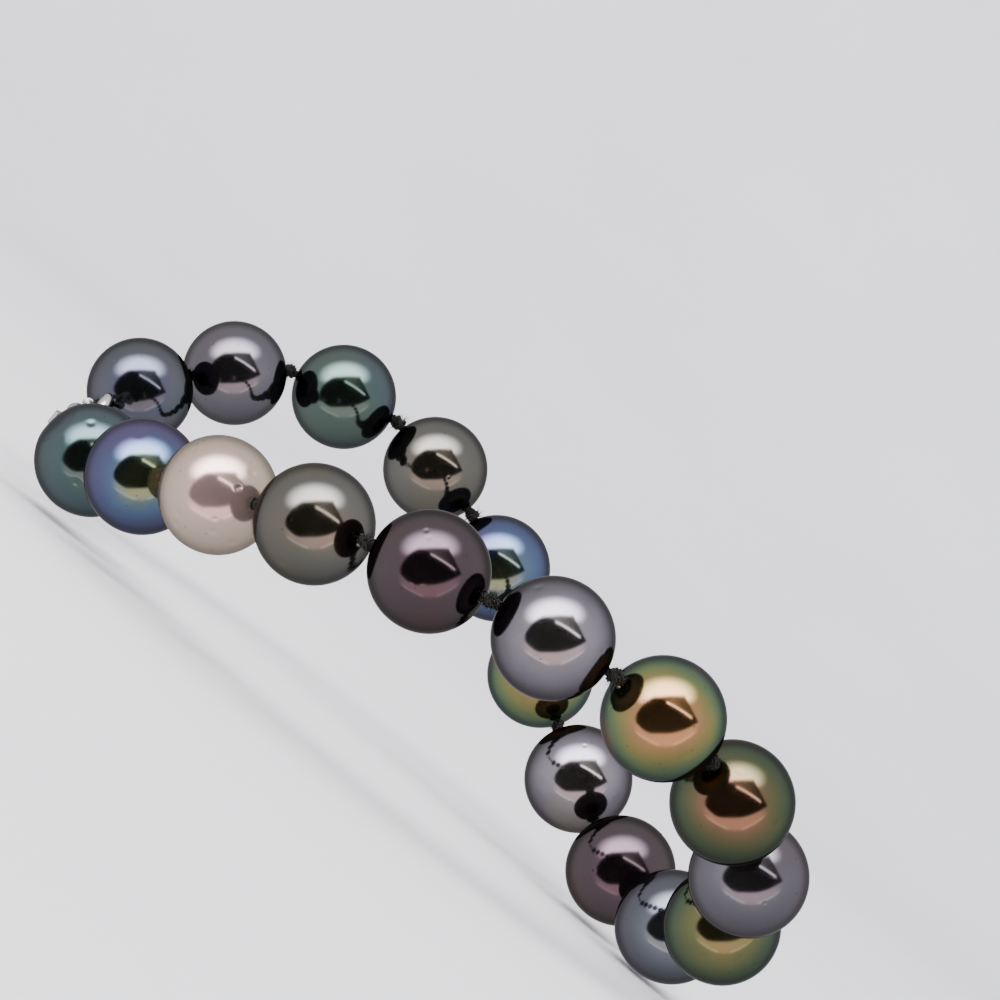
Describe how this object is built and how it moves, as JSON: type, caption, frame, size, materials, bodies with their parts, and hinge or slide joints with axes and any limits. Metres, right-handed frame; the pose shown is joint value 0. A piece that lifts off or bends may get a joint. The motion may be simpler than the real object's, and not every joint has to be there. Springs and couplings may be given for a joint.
{
  "type": "pearl bracelet",
  "caption": "Knotted strand bracelet of drilled multicolour dark pearls on silk, with a sprung lobster clasp, shown as worn round a wrist.",
  "frame": {"origin": "middle of the worn loop, where the wrist goes through", "axes": "+Z along the wrist that the loop goes round, +X along the longer axis of the oval loop, away from the clasp"},
  "size_m": [0.0773, 0.0577, 0.0241],
  "materials": {
    "nacre_teal": "gloss",
    "nacre_blue_violet": "gloss",
    "nacre_champagne": "gloss",
    "nacre_green_grey": "gloss",
    "nacre_aubergine": "gloss",
    "nacre_silver": "gloss",
    "nacre_peacock": "gloss",
    "nacre_dark_green": "gloss",
    "nacre_lavender": "gloss",
    "nacre_green_gold": "gloss",
    "nacre_slate": "gloss",
    "nacre_dark_grey": "gloss",
    "silk": "matte",
    "clasp_metal": "polished",
    "spring_steel": "satin"
  },
  "bodies": {
    "strand_10": {"silk_10": "silk"},
    "strand_01": {"silk_01": "silk"},
    "strand_02": {"silk_02": "silk"},
    "strand_03": {"silk_03": "silk"},
    "strand_04": {"silk_04": "silk"},
    "strand_05": {"silk_05": "silk"},
    "strand_06": {"silk_06": "silk"},
    "strand_07": {"silk_07": "silk"},
    "strand_08": {"silk_08": "silk"},
    "strand_09": {"silk_09": "silk"},
    "strand_11": {"silk_11": "silk"},
    "strand_12": {"silk_12": "silk"},
    "strand_13": {"silk_13": "silk"},
    "strand_14": {"silk_14": "silk"},
    "strand_15": {"silk_15": "silk"},
    "strand_16": {"silk_16": "silk"},
    "strand_17": {"silk_17": "silk"},
    "strand_18": {"silk_18": "silk"},
    "strand_19": {"silk_19": "silk"},
    "pearl_01": {"pearl_01": "nacre_teal"},
    "pearl_02": {"pearl_02": "nacre_blue_violet"},
    "pearl_03": {"pearl_03": "nacre_champagne"},
    "pearl_04": {"pearl_04": "nacre_green_grey"},
    "pearl_05": {"pearl_05": "nacre_aubergine"},
    "pearl_06": {"pearl_06": "nacre_silver"},
    "pearl_07": {"pearl_07": "nacre_peacock"},
    "pearl_08": {"pearl_08": "nacre_dark_green"},
    "pearl_09": {"pearl_09": "nacre_lavender"},
    "pearl_10": {"pearl_10": "nacre_green_gold"},
    "pearl_11": {"pearl_11": "nacre_slate"},
    "pearl_12": {"pearl_12": "nacre_aubergine"},
    "pearl_13": {"pearl_13": "nacre_silver"},
    "pearl_14": {"pearl_14": "nacre_peacock"},
    "pearl_15": {"pearl_15": "nacre_blue_violet"},
    "pearl_16": {"pearl_16": "nacre_green_grey"},
    "pearl_17": {"pearl_17": "nacre_teal"},
    "pearl_18": {"pearl_18": "nacre_lavender"},
    "pearl_19": {"pearl_19": "nacre_dark_grey"},
    "claw_loop": {"silk_claw_end": "silk", "gimp_claw_end": "clasp_metal"},
    "claw": {"claw_body": "clasp_metal", "lever_pin": "clasp_metal", "lever_spring": "spring_steel"},
    "lever": {"claw_lever": "clasp_metal"},
    "ring_loop": {"silk_ring_end": "silk", "gimp_ring_end": "clasp_metal"},
    "ring": {"catch_ring": "clasp_metal"}
  },
  "joints": [
    {"name": "knot_09_flex", "type": "hinge", "parent": "strand_10", "child": "strand_09", "pos_m": [0.02862, 0.01404, -0.00248], "axis": [0, 0, 1], "range_deg": [-10, 10]},
    {"name": "knot_08_flex", "type": "hinge", "parent": "strand_09", "child": "strand_08", "pos_m": [0.03206, 0.00589, 0.00195], "axis": [0, 0, 1], "range_deg": [-17.3, 17.3]},
    {"name": "knot_07_flex", "type": "hinge", "parent": "strand_08", "child": "strand_07", "pos_m": [0.03245, -0.00369, 0.00481], "axis": [0, 0, 1], "range_deg": [-19.3, 19.3]},
    {"name": "knot_06_flex", "type": "hinge", "parent": "strand_07", "child": "strand_06", "pos_m": [0.02925, -0.01304, 0.00535], "axis": [0, 0, 1], "range_deg": [-17.1, 17.1]},
    {"name": "knot_05_flex", "type": "hinge", "parent": "strand_06", "child": "strand_05", "pos_m": [0.02268, -0.02009, 0.0042], "axis": [0, 0, 1], "range_deg": [-10.3, 10.3]},
    {"name": "knot_04_flex", "type": "hinge", "parent": "strand_05", "child": "strand_04", "pos_m": [0.01405, -0.02393, 0.00203], "axis": [0, 0, 1], "range_deg": [-8.4, 8.4]},
    {"name": "knot_03_flex", "type": "hinge", "parent": "strand_04", "child": "strand_03", "pos_m": [0.00481, -0.02505, -0.00071], "axis": [0, 0, 1], "range_deg": [-14.7, 14.7]},
    {"name": "knot_02_flex", "type": "hinge", "parent": "strand_03", "child": "strand_02", "pos_m": [-0.00442, -0.02426, -0.00359], "axis": [0, 0, 1], "range_deg": [-19.4, 19.4]},
    {"name": "knot_01_flex", "type": "hinge", "parent": "strand_02", "child": "strand_01", "pos_m": [-0.01352, -0.02198, -0.00606], "axis": [0, 0, 1], "range_deg": [-13.7, 13.7]},
    {"name": "knot_00_flex", "type": "hinge", "parent": "strand_01", "child": "claw_loop", "pos_m": [-0.02237, -0.01822, -0.00733], "axis": [0, 0, 1], "range_deg": [-8.4, 8.4]},
    {"name": "claw_swing", "type": "hinge", "parent": "claw_loop", "child": "claw", "pos_m": [-0.02425, -0.01673, -0.00682], "axis": [0, 0, 1], "range_deg": [-8.9, 8.9]},
    {"name": "knot_10_flex", "type": "hinge", "parent": "strand_10", "child": "strand_11", "pos_m": [0.02229, 0.02036, -0.00673], "axis": [0, 0, 1], "range_deg": [-8.4, 8.4]},
    {"name": "knot_11_flex", "type": "hinge", "parent": "strand_11", "child": "strand_12", "pos_m": [0.01324, 0.02412, -0.00816], "axis": [0, 0, 1], "range_deg": [-16.3, 16.3]},
    {"name": "knot_12_flex", "type": "hinge", "parent": "strand_12", "child": "strand_13", "pos_m": [0.00376, 0.02505, -0.00588], "axis": [0, 0, 1], "range_deg": [-23, 23]},
    {"name": "knot_13_flex", "type": "hinge", "parent": "strand_13", "child": "strand_14", "pos_m": [-0.00508, 0.02415, -0.00174], "axis": [0, 0, 1], "range_deg": [-18.6, 18.6]},
    {"name": "knot_14_flex", "type": "hinge", "parent": "strand_14", "child": "strand_15", "pos_m": [-0.01345, 0.022, 0.00288], "axis": [0, 0, 1], "range_deg": [-8.5, 8.5]},
    {"name": "knot_15_flex", "type": "hinge", "parent": "strand_15", "child": "strand_16", "pos_m": [-0.02175, 0.01855, 0.00703], "axis": [0, 0, 1], "range_deg": [-8.5, 8.5]},
    {"name": "knot_16_flex", "type": "hinge", "parent": "strand_16", "child": "strand_17", "pos_m": [-0.02976, 0.01334, 0.00919], "axis": [0, 0, 1], "range_deg": [-16.5, 16.5]},
    {"name": "knot_17_flex", "type": "hinge", "parent": "strand_17", "child": "strand_18", "pos_m": [-0.03585, 0.00597, 0.00701], "axis": [0, 0, 1], "range_deg": [-20.4, 20.4]},
    {"name": "knot_18_flex", "type": "hinge", "parent": "strand_18", "child": "strand_19", "pos_m": [-0.03717, -0.0018, 0.00136], "axis": [0, 0, 1], "range_deg": [-17.4, 17.4]},
    {"name": "knot_19_flex", "type": "hinge", "parent": "strand_19", "child": "ring_loop", "pos_m": [-0.0339, -0.00908, -0.00416], "axis": [0, 0, 1], "range_deg": [-10.9, 10.9]},
    {"name": "ring_swing", "type": "hinge", "parent": "ring_loop", "child": "ring", "pos_m": [-0.0327, -0.01004, -0.00449], "axis": [0, 0, 1], "range_deg": [-8.5, 8.5]},
    {"name": "lever_press", "type": "hinge", "parent": "claw", "child": "lever", "pos_m": [-0.02707, -0.01565, -0.00619], "axis": [-0.1653, 0.131, -0.9775], "range_deg": [0, 16], "stiffness_Nm_per_rad": 0.002, "springref_deg": -11.46},
    {"name": "pearl_01_turn", "type": "hinge", "parent": "strand_01", "child": "pearl_01", "pos_m": [-0.01794, -0.0201, -0.0067], "axis": [0.9126, -0.3873, 0.131], "continuous": true},
    {"name": "pearl_02_turn", "type": "hinge", "parent": "strand_02", "child": "pearl_02", "pos_m": [-0.00897, -0.02312, -0.00483], "axis": [0.9379, -0.2356, 0.2548], "continuous": true},
    {"name": "pearl_03_turn", "type": "hinge", "parent": "strand_03", "child": "pearl_03", "pos_m": [0.00019, -0.02466, -0.00215], "axis": [0.9515, -0.0812, 0.2966], "continuous": true},
    {"name": "pearl_04_turn", "type": "hinge", "parent": "strand_04", "child": "pearl_04", "pos_m": [0.00943, -0.02449, 0.00066], "axis": [0.9522, 0.1156, 0.2826], "continuous": true},
    {"name": "pearl_05_turn", "type": "hinge", "parent": "strand_05", "child": "pearl_05", "pos_m": [0.01836, -0.02201, 0.00311], "axis": [0.8906, 0.3959, 0.2237], "continuous": true},
    {"name": "pearl_06_turn", "type": "hinge", "parent": "strand_06", "child": "pearl_06", "pos_m": [0.02597, -0.01657, 0.00477], "axis": [0.6769, 0.7263, 0.1191], "continuous": true},
    {"name": "pearl_07_turn", "type": "hinge", "parent": "strand_07", "child": "pearl_07", "pos_m": [0.03085, -0.00837, 0.00508], "axis": [0.3232, 0.9447, -0.055], "continuous": true},
    {"name": "pearl_08_turn", "type": "hinge", "parent": "strand_08", "child": "pearl_08", "pos_m": [0.03225, 0.0011, 0.00338], "axis": [-0.0394, 0.9576, -0.2855], "continuous": true},
    {"name": "pearl_09_turn", "type": "hinge", "parent": "strand_09", "child": "pearl_09", "pos_m": [0.03034, 0.00996, -0.00027], "axis": [-0.3468, 0.824, -0.448], "continuous": true},
    {"name": "pearl_10_turn", "type": "hinge", "parent": "strand_10", "child": "pearl_10", "pos_m": [0.02546, 0.0172, -0.00461], "axis": [-0.6399, 0.6376, -0.429], "continuous": true},
    {"name": "pearl_11_turn", "type": "hinge", "parent": "strand_11", "child": "pearl_11", "pos_m": [0.01777, 0.02224, -0.00745], "axis": [-0.9135, 0.3804, -0.1443], "continuous": true},
    {"name": "pearl_12_turn", "type": "hinge", "parent": "strand_12", "child": "pearl_12", "pos_m": [0.0085, 0.02458, -0.00702], "axis": [-0.9681, 0.0942, 0.2323], "continuous": true},
    {"name": "pearl_13_turn", "type": "hinge", "parent": "strand_13", "child": "pearl_13", "pos_m": [-0.00066, 0.0246, -0.00381], "axis": [-0.9015, -0.0917, 0.4229], "continuous": true},
    {"name": "pearl_14_turn", "type": "hinge", "parent": "strand_14", "child": "pearl_14", "pos_m": [-0.00926, 0.02307, 0.00057], "axis": [-0.8543, -0.219, 0.4714], "continuous": true},
    {"name": "pearl_15_turn", "type": "hinge", "parent": "strand_15", "child": "pearl_15", "pos_m": [-0.0176, 0.02027, 0.00496], "axis": [-0.838, -0.3489, 0.4196], "continuous": true},
    {"name": "pearl_16_turn", "type": "hinge", "parent": "strand_16", "child": "pearl_16", "pos_m": [-0.02575, 0.01594, 0.00811], "axis": [-0.818, -0.5317, 0.2195], "continuous": true},
    {"name": "pearl_17_turn", "type": "hinge", "parent": "strand_17", "child": "pearl_17", "pos_m": [-0.03281, 0.00965, 0.0081], "axis": [-0.6211, -0.7515, -0.2224], "continuous": true},
    {"name": "pearl_18_turn", "type": "hinge", "parent": "strand_18", "child": "pearl_18", "pos_m": [-0.03651, 0.00208, 0.00418], "axis": [-0.1361, -0.8014, -0.5824], "continuous": true},
    {"name": "pearl_19_turn", "type": "hinge", "parent": "strand_19", "child": "pearl_19", "pos_m": [-0.03553, -0.00544, -0.0014], "axis": [0.3369, -0.7504, -0.5686], "continuous": true}
  ],
  "couplings": [
    {"joint": "knot_08_flex", "follows": "knot_09_flex", "ratio": 1.6509},
    {"joint": "knot_07_flex", "follows": "knot_09_flex", "ratio": 1.8476},
    {"joint": "knot_06_flex", "follows": "knot_09_flex", "ratio": 1.6315},
    {"joint": "knot_05_flex", "follows": "knot_09_flex", "ratio": 0.9599},
    {"joint": "knot_04_flex", "follows": "knot_09_flex", "ratio": -0.7733},
    {"joint": "knot_03_flex", "follows": "knot_09_flex", "ratio": -1.3918},
    {"joint": "knot_02_flex", "follows": "knot_09_flex", "ratio": -1.8569},
    {"joint": "knot_01_flex", "follows": "knot_09_flex", "ratio": -1.2965},
    {"joint": "knot_00_flex", "follows": "knot_09_flex", "ratio": -0.7737},
    {"joint": "claw_swing", "follows": "knot_09_flex", "ratio": -0.8258},
    {"joint": "knot_10_flex", "follows": "knot_09_flex", "ratio": 0.7728},
    {"joint": "knot_11_flex", "follows": "knot_09_flex", "ratio": 1.5513},
    {"joint": "knot_12_flex", "follows": "knot_09_flex", "ratio": 2.2035},
    {"joint": "knot_13_flex", "follows": "knot_09_flex", "ratio": 1.7768},
    {"joint": "knot_14_flex", "follows": "knot_09_flex", "ratio": 0.7853},
    {"joint": "knot_15_flex", "follows": "knot_09_flex", "ratio": -0.7838},
    {"joint": "knot_16_flex", "follows": "knot_09_flex", "ratio": -1.5689},
    {"joint": "knot_17_flex", "follows": "knot_09_flex", "ratio": -1.9529},
    {"joint": "knot_18_flex", "follows": "knot_09_flex", "ratio": -1.6529},
    {"joint": "knot_19_flex", "follows": "knot_09_flex", "ratio": -1.0219},
    {"joint": "ring_swing", "follows": "knot_09_flex", "ratio": -0.7813}
  ]
}
